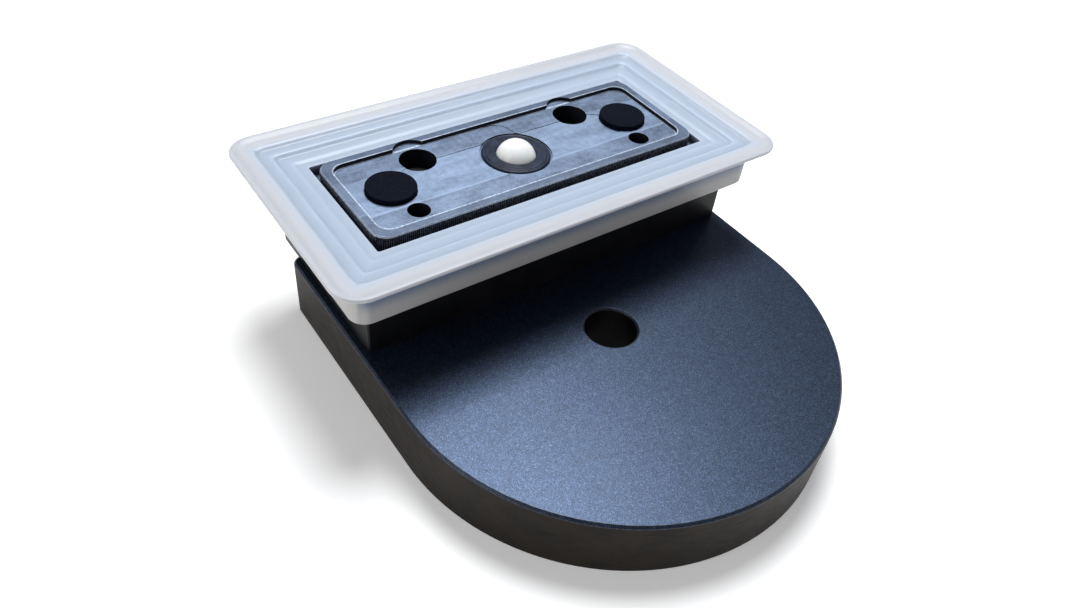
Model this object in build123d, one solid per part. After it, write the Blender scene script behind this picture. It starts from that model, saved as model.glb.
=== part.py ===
"""Vacuum mounting block: a bolt-down D-shaped base plate, a riser bar and a silicone suction cup.

The origin is the centre of the bolt hole on the underside of the base plate.
+Z is up, +X runs along the suction cup and +Y points from the round nose to the cup.
A spring-loaded ball in the middle of the cup opens the vacuum when a workpiece pushes it down.
"""
import os
from math import cos, pi, sin

from build123d import *

# Base plate
PLATE_RADIUS = 50.0
PLATE_BACK_Y = 54.1
PLATE_THICKNESS = 15.0
PLATE_CORNER_RADIUS = 2.5
PLATE_EDGE_CHAMFER = 0.5
BOLT_HOLE_RADIUS = 5.8
BOLT_HOLE_CHAMFER = 0.4

# Riser bar between the base plate and the cup
RISER_HALF_LENGTH = 48.2
RISER_FRONT_Y = 19.0
RISER_BACK_Y = 61.0
RISER_HEIGHT = 11.9
RISER_EDGE_CHAMFER = 0.3
RISER_TOP_Z = PLATE_THICKNESS + RISER_HEIGHT

# Silicone suction cup
CUP_CENTRE_Y = 40.0
CUP_HALF_LENGTH = 52.3
CUP_HALF_WIDTH = 24.9
CUP_CORNER_RADIUS = 3.6
CUP_WEB_THICKNESS = 2.5
CUP_LEDGE_Z = 35.95
CUP_FLARE_Z = 33.9
LIP_HALF_LENGTH = 56.55
LIP_HALF_WIDTH = 29.6
LIP_CORNER_RADIUS = 6.2
LIP_TOP_Z = 38.35
LIP_EDGE_THICKNESS = 0.9
WINDOW_HALF_LENGTH = 42.7
WINDOW_HALF_WIDTH = 15.95
WINDOW_FLOOR_Z = 33.6
WINDOW_CORNER_RADIUS = 0.6

# Machined core plate that clamps the cup
CORE_HALF_LENGTH = 41.9
CORE_HALF_WIDTH = 14.6
CORE_CORNER_RADIUS = 3.5
CORE_TOP_Z = 37.15
CORE_TOP_CHAMFER = 0.25
CORE_FLANGE_REACH = 3.6
CORE_FLANGE_THICKNESS = 2.5
POCKET_HALF_LENGTH = 39.7
POCKET_HALF_WIDTH = 12.35
POCKET_CORNER_RADIUS = 3.0
POCKET_FLOOR_Z = 36.2
CHANNEL_HALF_LENGTH = 29.0
CHANNEL_HALF_WIDTH = 6.3
CHANNEL_DEPTH = 0.15
NOTCH_RADIUS = 4.3
NOTCH_Y = 50.05
CUTTER_MARK_Y = 48.0
GROOVE_CLEARANCE = 0.05

# Fastenings of the core plate
CORE_SCREW_X = 20.9
CORE_SCREW_Y = 47.6
CORE_SCREW_SEAT_Z = 29.2
CORE_COUNTERBORE_RADIUS = 4.19
CORE_DOWEL_X = 29.5
CORE_DOWEL_Y = 31.6
CORE_DOWEL_RADIUS = 2.46
CORE_DOWEL_TOP_Z = 31.0
CORE_DOWEL_LENGTH = 10.0

# Friction pads
PAD_X = 31.3
PAD_Y = 40.3
PAD_RADIUS = 5.52
PAD_TOP_Z = 37.4
PAD_RECESS_Z = 34.9
PAD_RECESS_GAP = 0.08
PAD_EDGE_CHAMFER = 0.25

# Ball valve
VALVE_Y = 39.8
BALL_RADIUS = 4.76
BALL_CENTRE_Z = 34.5
SEAT_OUTER_RADIUS = 7.9
SEAT_LIP_RADIUS = 4.62
SEAT_TOP_Z = 36.3
SEAT_BOTTOM_Z = 33.95
SEAT_BORE_RADIUS = 5.6
RELIEF_RADIUS = 8.3
RELIEF_DEPTH = 0.5
SEAL_GROOVE_RADIUS = 6.9
SEAL_WIRE_RADIUS = 0.5
SEAL_CENTRE_Z = 34.95
GUIDE_OUTER_RADIUS = 7.0
GUIDE_INNER_RADIUS = 5.9
GUIDE_RIB_RADIUS = 4.85
GUIDE_RIB_WIDTH = 1.4
GUIDE_RIB_COUNT = 4
SPRING_RADIUS = 3.0
SPRING_WIRE_RADIUS = 0.25
SPRING_TURNS = 5
SPRING_BOTTOM_Z = 23.25
SPRING_TOP_Z = 30.65

# Vacuum passages in the riser
VALVE_POCKET_RADIUS = 4.2
VALVE_POCKET_Z = 23.2
PORT_RADIUS = 2.1
PORT_THREAD_DEPTH = 8.4
PORT_Z = 20.95
PASSAGE_RADIUS = 1.8
DRILLING_RADIUS = 1.6
PORT_CHAMFER = 0.4
GALLERY_SEAL_RADIUS = 9.2
GALLERY_SEAL_WIRE_RADIUS = 0.75
GALLERY_SEAL_SQUASH = 0.02

# Screws and dowels that join the riser to the base plate
RISER_SCREW_X = 38.0
RISER_SCREW_FRONT_Y = 26.0
RISER_SCREW_BACK_Y = 46.5
RISER_SCREW_SEAT_Z = 6.0
RISER_DOWEL_X = 22.0
RISER_DOWEL_Y = 26.0
RISER_DOWEL_RADIUS = 2.5
RISER_DOWEL_BOTTOM_Z = 8.0
RISER_DOWEL_LENGTH = 14.0

# Socket head screws: head radius, head height, thread radius, thread length, hexagon across flats
M4_LOW_HEAD = (3.5, 2.8, 2.0, 8.5, 2.5)
M5_HEAD = (4.25, 5.0, 2.5, 18.0, 4.0)
M5_COUNTERBORE_RADIUS = 4.75
THREAD_CLEARANCE = 0.05
SHANK_CLEARANCE = 0.25
DOWEL_CHAMFER = 0.4


def cylinder(radius, bottom_z, top_z, x=0.0, y=0.0):
    """Upright cylinder between two heights."""
    disc = Pos(x, y, bottom_z) * Circle(radius)
    return extrude(disc, amount=top_z - bottom_z)


def rounded_slab(half_length, half_width, radius, bottom_z, top_z, y=CUP_CENTRE_Y):
    """Upright slab with rounded vertical corners, centred on the cup."""
    outline = Pos(0, y, bottom_z) * RectangleRounded(2 * half_length, 2 * half_width, radius)
    return extrude(outline, amount=top_z - bottom_z)


def tapered_slab(low, high, y=CUP_CENTRE_Y):
    """Slab that changes evenly from one rounded rectangle to another above it."""
    outlines = []
    for half_length, half_width, radius, height in (low, high):
        outlines.append(Pos(0, y, height) * RectangleRounded(2 * half_length, 2 * half_width, radius))
    return loft(outlines, ruled=True)


def hexagon_socket(across_flats, depth, top_z):
    """Hexagonal recess that opens upwards at top_z."""
    outline = Pos(0, 0, top_z - depth) * RegularPolygon(across_flats / 2, 6, major_radius=False)
    return extrude(outline, amount=depth + 1.0)


def socket_screw(size):
    """Socket head screw with its head above z = 0 and its thread below."""
    head_radius, head_height, thread_radius, thread_length, across_flats = size
    head = cylinder(head_radius, 0, head_height)
    head = chamfer(head.faces().sort_by(Axis.Z)[-1].edges(), 0.3)
    thread = cylinder(thread_radius, -thread_length, 0)
    thread = chamfer(thread.faces().sort_by(Axis.Z)[0].edges(), 0.5)
    return head + thread - hexagon_socket(across_flats, 0.55 * head_height, head_height)


def dowel_pin(radius, bottom_z, length, x, y):
    """Plain hardened pin with chamfered ends."""
    pin = cylinder(radius, bottom_z, bottom_z + length, x, y)
    return chamfer(pin.edges().filter_by(GeomType.CIRCLE), DOWEL_CHAMFER)


def riser_screw_places():
    """Positions of the screws that hold the riser down on the base plate."""
    return [(side * RISER_SCREW_X, y) for y in (RISER_SCREW_FRONT_Y, RISER_SCREW_BACK_Y) for side in (-1, 1)]


def make_base_plate():
    """D-shaped plate with the bolt hole at the centre of its round end."""
    half = PLATE_BACK_Y / 2
    outline = Circle(PLATE_RADIUS) + Pos(0, half) * Rectangle(2 * PLATE_RADIUS, PLATE_BACK_Y)
    back_corners = outline.vertices().sort_by(Axis.Y)[-2:]
    outline = fillet(back_corners, PLATE_CORNER_RADIUS)
    plate = extrude(outline, amount=PLATE_THICKNESS)
    faces = plate.faces().sort_by(Axis.Z)
    plate = chamfer(faces[0].edges() + faces[-1].edges(), PLATE_EDGE_CHAMFER)
    plate -= cylinder(BOLT_HOLE_RADIUS, -1, PLATE_THICKNESS + 1)
    plate -= Pos(0, 0, PLATE_THICKNESS - BOLT_HOLE_CHAMFER / 2) * Cone(
        BOLT_HOLE_RADIUS, BOLT_HOLE_RADIUS + BOLT_HOLE_CHAMFER, BOLT_HOLE_CHAMFER)
    for x, y in riser_screw_places():
        plate -= cylinder(M5_COUNTERBORE_RADIUS, -1, RISER_SCREW_SEAT_Z, x, y)
        plate -= cylinder(M5_HEAD[2] + SHANK_CLEARANCE, 0, PLATE_THICKNESS + 1, x, y)
    for side in (-1, 1):
        plate -= cylinder(RISER_DOWEL_RADIUS, RISER_DOWEL_BOTTOM_Z, PLATE_THICKNESS + 1,
                          side * RISER_DOWEL_X, RISER_DOWEL_Y)
    return plate


def make_riser_block():
    """Bar with the vacuum passages and the tapped holes for both sets of screws."""
    depth = RISER_BACK_Y - RISER_FRONT_Y
    centre_y = (RISER_BACK_Y + RISER_FRONT_Y) / 2
    centre_z = PLATE_THICKNESS + RISER_HEIGHT / 2
    riser = Pos(0, centre_y, centre_z) * Box(2 * RISER_HALF_LENGTH, depth, RISER_HEIGHT)
    riser = chamfer(riser.edges().filter_by(Axis.Z), RISER_EDGE_CHAMFER)
    riser -= cylinder(VALVE_POCKET_RADIUS, VALVE_POCKET_Z, RISER_TOP_Z + 1, 0, VALVE_Y)
    riser -= cylinder(DRILLING_RADIUS, PORT_Z, RISER_TOP_Z, 0, VALVE_Y)
    port = Pos(0, RISER_BACK_Y - PORT_THREAD_DEPTH / 2, PORT_Z) * Rot(90, 0, 0) * Cylinder(
        PORT_RADIUS, PORT_THREAD_DEPTH)
    passage_length = RISER_BACK_Y - VALVE_Y + PASSAGE_RADIUS
    passage = Pos(0, RISER_BACK_Y - passage_length / 2, PORT_Z) * Rot(90, 0, 0) * Cylinder(
        PASSAGE_RADIUS, passage_length)
    mouth = Pos(0, RISER_BACK_Y - PORT_CHAMFER / 2, PORT_Z) * Rot(-90, 0, 0) * Cone(
        PORT_RADIUS, PORT_RADIUS + PORT_CHAMFER, PORT_CHAMFER)
    riser -= passage
    riser -= port + mouth
    seal_depth = 2 * (GALLERY_SEAL_WIRE_RADIUS + GALLERY_SEAL_SQUASH)
    seal_outer = GALLERY_SEAL_RADIUS + GALLERY_SEAL_WIRE_RADIUS + 0.2
    seal_inner = GALLERY_SEAL_RADIUS - GALLERY_SEAL_WIRE_RADIUS - 0.2
    groove = cylinder(seal_outer, RISER_TOP_Z - seal_depth, RISER_TOP_Z + 1, 0, VALVE_Y)
    groove -= cylinder(seal_inner, RISER_TOP_Z - seal_depth, RISER_TOP_Z + 1, 0, VALVE_Y)
    riser -= groove
    for x, y in riser_screw_places():
        depth_z = RISER_SCREW_SEAT_Z + M5_HEAD[3] + 0.5
        riser -= cylinder(M5_HEAD[2] + THREAD_CLEARANCE, PLATE_THICKNESS - 1, depth_z, x, y)
    for side in (-1, 1):
        riser -= cylinder(RISER_DOWEL_RADIUS, PLATE_THICKNESS - 1,
                          RISER_DOWEL_BOTTOM_Z + RISER_DOWEL_LENGTH + 0.5, side * RISER_DOWEL_X, RISER_DOWEL_Y)
        riser -= cylinder(M4_LOW_HEAD[2] + THREAD_CLEARANCE, CORE_SCREW_SEAT_Z - M4_LOW_HEAD[3] - 0.5,
                          RISER_TOP_Z + 1, side * CORE_SCREW_X, CORE_SCREW_Y)
        riser -= cylinder(CORE_DOWEL_RADIUS, CORE_DOWEL_TOP_Z - CORE_DOWEL_LENGTH - 0.5,
                          RISER_TOP_Z + 1, side * CORE_DOWEL_X, CORE_DOWEL_Y)
    return riser


def make_suction_cup():
    """Silicone cup: a flared lip round a window, with a groove that grips the core plate's flange."""
    body = rounded_slab(CUP_HALF_LENGTH, CUP_HALF_WIDTH, CUP_CORNER_RADIUS, RISER_TOP_Z, CUP_FLARE_Z)
    lip_under_z = LIP_TOP_Z - LIP_EDGE_THICKNESS
    flare = tapered_slab((CUP_HALF_LENGTH, CUP_HALF_WIDTH, CUP_CORNER_RADIUS, CUP_FLARE_Z),
                         (LIP_HALF_LENGTH, LIP_HALF_WIDTH, LIP_CORNER_RADIUS, lip_under_z))
    edge = rounded_slab(LIP_HALF_LENGTH, LIP_HALF_WIDTH, LIP_CORNER_RADIUS, lip_under_z, LIP_TOP_Z)
    cup = body + flare + edge
    rim = 0.8
    hollow = tapered_slab((WINDOW_HALF_LENGTH, WINDOW_HALF_WIDTH, WINDOW_CORNER_RADIUS, CUP_LEDGE_Z),
                          (LIP_HALF_LENGTH - rim, LIP_HALF_WIDTH - rim, LIP_CORNER_RADIUS - rim, LIP_TOP_Z))
    hollow += rounded_slab(LIP_HALF_LENGTH - rim, LIP_HALF_WIDTH - rim, LIP_CORNER_RADIUS - rim,
                           LIP_TOP_Z, LIP_TOP_Z + 1)
    cup -= hollow
    cup -= rounded_slab(WINDOW_HALF_LENGTH, WINDOW_HALF_WIDTH, WINDOW_CORNER_RADIUS,
                        WINDOW_FLOOR_Z, CUP_LEDGE_Z)
    cup -= rounded_slab(CORE_HALF_LENGTH + GROOVE_CLEARANCE, CORE_HALF_WIDTH + GROOVE_CLEARANCE,
                        CORE_CORNER_RADIUS, RISER_TOP_Z - 1, WINDOW_FLOOR_Z + 1)
    flange_z = RISER_TOP_Z + CUP_WEB_THICKNESS
    reach = CORE_FLANGE_REACH + GROOVE_CLEARANCE
    cup -= rounded_slab(CORE_HALF_LENGTH + reach, CORE_HALF_WIDTH + reach, CORE_CORNER_RADIUS + reach,
                        flange_z, flange_z + CORE_FLANGE_THICKNESS)
    return cup


def make_core_plate():
    """Aluminium plate with a shallow pocket, a clamping flange and the valve chamber."""
    core = rounded_slab(CORE_HALF_LENGTH, CORE_HALF_WIDTH, CORE_CORNER_RADIUS, RISER_TOP_Z, CORE_TOP_Z)
    core = chamfer(core.faces().sort_by(Axis.Z)[-1].edges(), CORE_TOP_CHAMFER)
    flange_z = RISER_TOP_Z + CUP_WEB_THICKNESS
    core += rounded_slab(CORE_HALF_LENGTH + CORE_FLANGE_REACH, CORE_HALF_WIDTH + CORE_FLANGE_REACH,
                         CORE_CORNER_RADIUS + CORE_FLANGE_REACH, flange_z, flange_z + CORE_FLANGE_THICKNESS)
    core -= rounded_slab(POCKET_HALF_LENGTH, POCKET_HALF_WIDTH, POCKET_CORNER_RADIUS,
                         POCKET_FLOOR_Z, CORE_TOP_Z + 1)
    core -= rounded_slab(CHANNEL_HALF_LENGTH, CHANNEL_HALF_WIDTH, CHANNEL_HALF_WIDTH - 0.01,
                         POCKET_FLOOR_Z - CHANNEL_DEPTH, POCKET_FLOOR_Z + 1)
    for side in (-1, 1):
        core -= cylinder(NOTCH_RADIUS, POCKET_FLOOR_Z, CORE_TOP_Z + 1, side * CORE_SCREW_X, NOTCH_Y)
        core -= cylinder(CORE_COUNTERBORE_RADIUS, CORE_SCREW_SEAT_Z, CORE_TOP_Z + 1,
                         side * CORE_SCREW_X, CORE_SCREW_Y)
        core -= cylinder(M4_LOW_HEAD[2] + SHANK_CLEARANCE, RISER_TOP_Z - 1, CORE_TOP_Z,
                         side * CORE_SCREW_X, CORE_SCREW_Y)
        core -= cylinder(CORE_DOWEL_RADIUS, RISER_TOP_Z - 1, CORE_TOP_Z + 1, side * CORE_DOWEL_X, CORE_DOWEL_Y)
        core -= cylinder(PAD_RADIUS + PAD_RECESS_GAP, PAD_RECESS_Z, CORE_TOP_Z + 1, side * PAD_X, PAD_Y)
    core -= cylinder(NOTCH_RADIUS, POCKET_FLOOR_Z - CHANNEL_DEPTH, POCKET_FLOOR_Z + 0.1, 0, CUTTER_MARK_Y)
    core -= cylinder(GUIDE_OUTER_RADIUS, RISER_TOP_Z - 1, CORE_TOP_Z + 1, 0, VALVE_Y)
    core -= cylinder(SEAT_OUTER_RADIUS, SEAT_BOTTOM_Z, CORE_TOP_Z + 1, 0, VALVE_Y)
    core -= cylinder(RELIEF_RADIUS, POCKET_FLOOR_Z - RELIEF_DEPTH, CORE_TOP_Z + 1, 0, VALVE_Y)
    return core


def make_friction_pad(side):
    """Rubber disc glued into a recess of the core plate."""
    pad = cylinder(PAD_RADIUS, PAD_RECESS_Z, PAD_TOP_Z, side * PAD_X, PAD_Y)
    return chamfer(pad.faces().sort_by(Axis.Z)[-1].edges(), PAD_EDGE_CHAMFER)


def make_valve_seat():
    """Black ring with a conical seat below its lip and a groove for its seal outside."""
    top = SEAT_TOP_Z
    lip_depth = 0.2
    cone_z = SEAT_BOTTOM_Z + 0.4
    points = [
        (SEAT_BORE_RADIUS, SEAT_BOTTOM_Z),
        (SEAT_OUTER_RADIUS, SEAT_BOTTOM_Z),
        (SEAT_OUTER_RADIUS, SEAL_CENTRE_Z - SEAL_WIRE_RADIUS - 0.1),
        (SEAL_GROOVE_RADIUS, SEAL_CENTRE_Z - SEAL_WIRE_RADIUS - 0.1),
        (SEAL_GROOVE_RADIUS, SEAL_CENTRE_Z + SEAL_WIRE_RADIUS + 0.1),
        (SEAT_OUTER_RADIUS, SEAL_CENTRE_Z + SEAL_WIRE_RADIUS + 0.1),
        (SEAT_OUTER_RADIUS, top - 0.35),
        (SEAT_OUTER_RADIUS - 0.35, top),
        (SEAT_LIP_RADIUS + 0.15, top),
        (SEAT_LIP_RADIUS, top - 0.15),
        (SEAT_LIP_RADIUS, top - lip_depth),
        (SEAT_BORE_RADIUS, cone_z),
    ]
    profile = make_face(Plane.XZ * Polyline(points, close=True))
    return Pos(0, VALVE_Y, 0) * revolve(profile, Axis.Z)


def make_ring_seal(major_radius, wire_radius, centre_z):
    """Round-section rubber ring about the valve axis."""
    return Pos(0, VALVE_Y, centre_z) * Torus(major_radius, wire_radius)


def make_valve_guide():
    """Bush with ribs that keep the ball on its axis and let air pass between them."""
    guide = cylinder(GUIDE_OUTER_RADIUS, RISER_TOP_Z, SEAT_BOTTOM_Z)
    guide -= cylinder(GUIDE_INNER_RADIUS, RISER_TOP_Z - 1, SEAT_BOTTOM_Z + 1)
    height = SEAT_BOTTOM_Z - RISER_TOP_Z
    rib_length = (GUIDE_OUTER_RADIUS + GUIDE_INNER_RADIUS) / 2 - GUIDE_RIB_RADIUS + 0.1
    rib_radius = GUIDE_RIB_RADIUS + rib_length / 2 - 0.1
    for index in range(GUIDE_RIB_COUNT):
        angle = 2 * pi * (index + 0.5) / GUIDE_RIB_COUNT
        place = Pos(rib_radius * cos(angle), rib_radius * sin(angle), RISER_TOP_Z + height / 2)
        guide += place * Rot(0, 0, angle * 180 / pi) * Box(rib_length, GUIDE_RIB_WIDTH, height)
    guide -= cylinder(GUIDE_RIB_RADIUS, RISER_TOP_Z - 1, SEAT_BOTTOM_Z + 1)
    return Pos(0, VALVE_Y, 0) * guide


def make_valve_ball():
    """Plastic ball that stands proud of its seat."""
    return Pos(0, VALVE_Y, BALL_CENTRE_Z) * Sphere(BALL_RADIUS)


def make_valve_spring():
    """Coil spring that pushes the ball up against its seat."""
    height = SPRING_TOP_Z - SPRING_BOTTOM_Z - 2 * SPRING_WIRE_RADIUS
    path = Helix(pitch=height / SPRING_TURNS, height=height, radius=SPRING_RADIUS)
    section = Plane(origin=path @ 0, z_dir=path % 0) * Circle(SPRING_WIRE_RADIUS)
    coil = sweep(section, path=path, is_frenet=True)
    return Pos(0, VALVE_Y, SPRING_BOTTOM_Z + SPRING_WIRE_RADIUS) * coil


def make_riser_screw(x, y):
    """Screw that enters the base plate from below."""
    return Pos(x, y, RISER_SCREW_SEAT_Z) * Rot(180, 0, 0) * socket_screw(M5_HEAD)


def make_core_screw(side):
    """Low head screw at the bottom of a counterbore of the core plate."""
    return Pos(side * CORE_SCREW_X, CORE_SCREW_Y, CORE_SCREW_SEAT_Z) * socket_screw(M4_LOW_HEAD)


def make_all():
    """Every separate piece by name."""
    seal_z = RISER_TOP_Z - GALLERY_SEAL_WIRE_RADIUS - GALLERY_SEAL_SQUASH
    pieces = {
        "base_plate": make_base_plate(),
        "riser_block": make_riser_block(),
        "suction_cup": make_suction_cup(),
        "core_plate": make_core_plate(),
        "valve_seat": make_valve_seat(),
        "valve_seat_seal": make_ring_seal(
            SEAL_GROOVE_RADIUS + SEAL_WIRE_RADIUS, SEAL_WIRE_RADIUS, SEAL_CENTRE_Z),
        "valve_guide": make_valve_guide(),
        "valve_ball": make_valve_ball(),
        "valve_spring": make_valve_spring(),
        "gallery_seal": make_ring_seal(GALLERY_SEAL_RADIUS, GALLERY_SEAL_WIRE_RADIUS, seal_z),
    }
    for name, side in (("left", -1), ("right", 1)):
        pieces[f"friction_pad_{name}"] = make_friction_pad(side)
        pieces[f"core_screw_{name}"] = make_core_screw(side)
        pieces[f"core_dowel_{name}"] = dowel_pin(
            CORE_DOWEL_RADIUS, CORE_DOWEL_TOP_Z - CORE_DOWEL_LENGTH, CORE_DOWEL_LENGTH,
            side * CORE_DOWEL_X, CORE_DOWEL_Y)
        pieces[f"riser_dowel_{name}"] = dowel_pin(
            RISER_DOWEL_RADIUS, RISER_DOWEL_BOTTOM_Z, RISER_DOWEL_LENGTH,
            side * RISER_DOWEL_X, RISER_DOWEL_Y)
    for number, (x, y) in enumerate(riser_screw_places(), start=1):
        pieces[f"riser_screw_{number}"] = make_riser_screw(x, y)
    return pieces


def main():
    """Write one STEP file for each piece."""
    os.makedirs("parts", exist_ok=True)
    for name, shape in make_all().items():
        shape.label = name
        export_step(shape, f"parts/{name}.step")
        print(name, round(shape.volume, 1), len(shape.solids()))


main()
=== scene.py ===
"""Visible pieces of a vacuum mounting block, built around its CAD frame. Lengths are in metres."""

from math import cos, hypot, pi, radians, sin

import bmesh
import bpy
from mathutils import Euler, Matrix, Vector


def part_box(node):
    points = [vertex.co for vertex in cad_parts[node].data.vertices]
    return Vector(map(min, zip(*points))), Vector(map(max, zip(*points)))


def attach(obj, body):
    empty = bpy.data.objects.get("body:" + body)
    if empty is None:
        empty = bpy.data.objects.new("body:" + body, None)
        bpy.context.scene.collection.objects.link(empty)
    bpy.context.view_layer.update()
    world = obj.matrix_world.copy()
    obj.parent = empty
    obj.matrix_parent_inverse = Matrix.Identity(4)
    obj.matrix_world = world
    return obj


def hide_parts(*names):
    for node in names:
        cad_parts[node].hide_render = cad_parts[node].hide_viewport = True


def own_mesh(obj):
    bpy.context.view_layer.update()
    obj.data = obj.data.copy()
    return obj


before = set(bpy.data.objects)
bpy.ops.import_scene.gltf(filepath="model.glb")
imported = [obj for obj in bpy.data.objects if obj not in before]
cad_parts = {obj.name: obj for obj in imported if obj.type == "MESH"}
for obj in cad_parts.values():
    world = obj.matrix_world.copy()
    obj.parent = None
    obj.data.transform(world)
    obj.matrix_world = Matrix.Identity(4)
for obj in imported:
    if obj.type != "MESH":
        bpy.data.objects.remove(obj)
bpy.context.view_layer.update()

bl_info = {
    "name": "Vacuum mounting block",
    "version": (1, 0, 0),
    "blender": (4, 5, 0),
    "location": "3D View > Sidebar > Mounting block",
    "description": "Builds the visible pieces of a vacuum mounting block around its CAD frame",
    "category": "Object",
}

MM = 0.001
CUP_LOW, CUP_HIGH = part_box("suction_cup")
CORE_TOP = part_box("core_plate")[1].z
SEAT_LOW, SEAT_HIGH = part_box("valve_seat")
BALL_LOW, BALL_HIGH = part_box("valve_ball")
SPRING_LOW, SPRING_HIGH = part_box("valve_spring")
CUP_CENTRE = (CUP_LOW + CUP_HIGH) / 2
VALVE_CENTRE = (SEAT_LOW + SEAT_HIGH) / 2
JOIN_DISTANCE = 0.001 * MM
FLOOR_GAP = 0.05 * MM

# Outlines about the cup's centre in millimetres: half length, half width, corner radius
CUP_OPENING = (41.95, 14.65, 3.5)
CUP_GROOVE = (45.55, 18.25, 7.1)
CUP_WINDOW = (42.7, 15.95, 0.5)
CUP_BODY = (52.3, 24.9, 3.6)
CORE_OUTLINE = (41.9, 14.6, 3.5)
CORE_POCKET = (39.7, 12.35, 3.0)
LIP_LENGTH = (CUP_HIGH.x - CUP_LOW.x) / 2 / MM
LIP_WIDTH = (CUP_HIGH.y - CUP_LOW.y) / 2 / MM
LIP_CORNER = 4.0

# Heights above the table in millimetres, and the radius of the bolt hole
GROOVE_BOTTOM, GROOVE_TOP = 29.4, 31.9
WINDOW_FLOOR = 33.6
SERRATION_BOTTOM = 33.65
LEDGE = 35.95
BOLT_HOLE_RADIUS = 5.8

# Depth inwards from the edge of the lip in millimetres, and the painted brightness there: painted highlights
# along the steps' edges and painted shade at their feet
STEP_LIGHT = (
    (0.0, 1.08), (1.4, 0.97), (3.0, 1.06), (4.3, 1.10), (4.9, 1.14), (5.6, 0.90), (6.6, 0.97), (7.4, 1.02),
    (8.0, 1.13), (8.8, 0.91), (9.8, 0.98), (10.7, 1.02), (11.3, 1.10), (12.1, 0.97), (14.0, 1.10),
)

# What each point of a profile carries
RING_VALUES = ("half_length", "half_width", "corner_radius", "height")


# Sizes and colours that a user may change

def length(name, description, default):
    """Length property in metres."""
    return bpy.props.FloatProperty(
        name=name, description=description, default=default, min=0.0, unit="LENGTH", precision=5)


def colour(name, description, default):
    """Colour property without alpha."""
    return bpy.props.FloatVectorProperty(
        name=name, description=description, default=default, min=0.0, max=1.0, size=3, subtype="COLOR")


class BlockSizes(bpy.types.PropertyGroup):
    """Sizes of the details that the CAD frame leaves plain."""
    lip_thickness: length("Lip thickness", "Thickness of the silicone lip at its edge", 0.9 * MM)
    rim_width: length("Rim width", "Width of the rounded rim along the lip", 1.0 * MM)
    first_step: length("First step", "Distance of the first step from the edge of the lip", 5.0 * MM)
    second_step: length("Second step", "Distance of the second step from the edge of the lip", 8.0 * MM)
    third_step: length("Third step", "Distance of the third step from the edge of the lip", 11.3 * MM)
    plate_edge: length("Plate edge", "Rounding of the edges of the base plate", 0.12 * MM)
    core_edge: length("Core plate edge", "Rounding of the edges of the core plate", 0.06 * MM)
    serration_pitch: length("Serration pitch", "Spacing of the serrations on the core's side", 0.46 * MM)
    serration_radius: length("Serration radius", "Radius of one serration", 0.11 * MM)
    spring_wire: length("Spring wire", "Radius of the spring's wire", 0.25 * MM)
    knurl_depth: length("Knurl depth", "Height of the knurls on the screw heads", 0.1 * MM)
    knurl_count: bpy.props.IntProperty(
        name="Knurl count", description="Number of knurls round a screw head", default=36, min=8, max=80)


class BlockColours(bpy.types.PropertyGroup):
    """Colours of the finishes."""
    silicone: colour("Silicone", "Frosted silicone on the steps of the cup", (0.405, 0.465, 0.560))
    silicone_lip: colour("Silicone lip", "Thin silicone along the lip", (0.50, 0.500, 0.530))
    silicone_body: colour("Silicone body", "Thick silicone below the lip", (0.40, 0.390, 0.385))
    # Painted shadow: the dark blue colour that the silicone takes below the lip
    painted_lip_shadow_colour: colour("Silicone under the lip", "Painted shadow on the silicone below the lip", (0.16, 0.20, 0.28))
    plate: colour("Base plate", "Bead-blasted anodising of the base plate", (0.005, 0.008, 0.017))
    plate_grain: colour("Plate grain", "Light grains of the blasted surface", (0.054, 0.086, 0.155))
    riser: colour("Riser", "Milled anodising of the riser", (0.005, 0.005, 0.006))
    core: colour("Core plate", "Milled anodising of the core plate", (0.040, 0.056, 0.092))
    core_cloud: colour("Core plate cloud", "Lighter cloud of the cutter marks", (0.270, 0.350, 0.500))
    rubber: colour("Rubber", "Friction pads and seals", (0.003, 0.0045, 0.010))
    seat: colour("Valve seat", "Satin ring round the ball", (0.005, 0.008, 0.017))
    ball: colour("Ball", "Polished plastic ball", (0.93, 0.93, 0.92))
    steel: colour("Steel", "Ground steel of the dowels and the spring", (0.45, 0.45, 0.46))
    oxide: colour("Black oxide", "Black oxide of the screws", (0.010, 0.010, 0.012))
    floor: colour("Floor", "Plain pale floor", (0.97, 0.95, 0.93))


# Node trees

def add_node(tree, kind, inputs=None, **settings):
    """Adds a node, applies its settings and fills its inputs with values or with other nodes' sockets."""
    node = tree.nodes.new(kind)
    for key, value in settings.items():
        setattr(node, key, value)
    for key, value in (inputs or {}).items():
        if isinstance(value, bpy.types.NodeSocket):
            tree.links.new(value, node.inputs[key])
        else:
            node.inputs[key].default_value = value
    return node


def maths(tree, operation, first, second=0.0, third=0.0):
    """Output of a Math node."""
    inputs = {0: first, 1: second, 2: third}
    return add_node(tree, "ShaderNodeMath", inputs, operation=operation).outputs[0]


def vector_maths(tree, operation, *values):
    """Outputs of a Vector Math node."""
    return add_node(tree, "ShaderNodeVectorMath", dict(enumerate(values)), operation=operation).outputs


def blend_colours(tree, factor, first, second):
    """Colour between two others; the colours are sockets or three numbers."""
    node = add_node(tree, "ShaderNodeMix", data_type="RGBA")
    for socket, value in ((node.inputs[0], factor), (node.inputs[6], first), (node.inputs[7], second)):
        if isinstance(value, bpy.types.NodeSocket):
            tree.links.new(value, socket)
        elif socket.type == "RGBA":
            socket.default_value = (*value, 1.0)
        else:
            socket.default_value = value
    return node.outputs[2]


def scaled(shade, factor):
    """Lighter or darker copy of a colour."""
    return tuple(min(1.0, factor * part) for part in shade)


def rescale(tree, value, low, high, to_low=0.0, to_high=1.0):
    """Value moved from one range to another and kept inside it."""
    inputs = {"Value": value, "From Min": low, "From Max": high, "To Min": to_low, "To Max": to_high}
    return add_node(tree, "ShaderNodeMapRange", inputs).outputs["Result"]


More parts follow.
